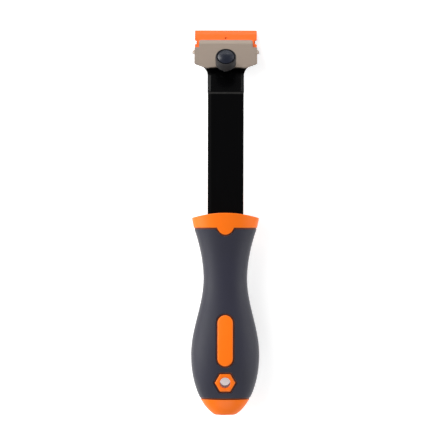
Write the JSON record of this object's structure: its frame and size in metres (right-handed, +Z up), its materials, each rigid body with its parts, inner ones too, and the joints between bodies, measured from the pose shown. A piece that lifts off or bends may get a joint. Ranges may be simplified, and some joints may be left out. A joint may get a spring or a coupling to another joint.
{
  "type": "long-handled scraper",
  "caption": "Hand scraper with a flat bent steel bar, a clamped double-edged plastic blade with thumb knob, and a waisted two-colour grip with a hang hole.",
  "frame": {"origin": "on the ground under the middle of the tool's length and width, with the tool lying on its back on its handle and its blade's edge", "axes": "+Y from the butt towards the blade, +X across the blade, +Z up out of the face that carries the knob"},
  "size_m": [0.0418, 0.239, 0.0346],
  "materials": {
    "black_steel": "satin black coating on steel strip, faint brushed grain, edges worn slightly lighter",
    "orange_plastic": "hard moulded plastic, satin",
    "grey_rubber": "soft overmoulded grip, fine matte grain",
    "bright_steel": "zinc plated",
    "blade_plastic": "hard moulded plastic, semi gloss",
    "plated_steel": "warm grey plating, satin",
    "black_plastic": "moulded plastic, satin"
  },
  "bodies": {
    "bar": {"shaft_bar": "black_steel", "handle_core": "orange_plastic", "grip_sleeve": "grey_rubber", "press_nut": "bright_steel", "stop_rivet_left": "bright_steel", "stop_rivet_right": "bright_steel"},
    "blade": {"scraper_blade": "blade_plastic"},
    "clamp": {"clamp_plate": "plated_steel", "thrust_washer": "bright_steel"},
    "knob": {"thumb_knob": "black_plastic", "knob_screw": "black_steel", "knob_cap": "black_plastic"}
  },
  "joints": [
    {"name": "clamp_lift", "type": "slide", "parent": "bar", "child": "clamp", "axis": [0, 0.5242, 0.8516], "range_m": [0, 0.0032]},
    {"name": "knob_turn", "type": "hinge", "parent": "clamp", "child": "knob", "pos_m": [0, 0.09699, 0.01876], "axis": [0, 0.5242, 0.8516], "range_deg": [0, 1440.5]},
    {"name": "blade_slide", "type": "slide", "parent": "bar", "child": "blade", "axis": [0, 0.8516, -0.5242], "range_m": [0, 0.012]}
  ],
  "couplings": [
    {"joint": "knob_turn", "follows": "clamp_lift", "rad_per_m": 7854}
  ]
}
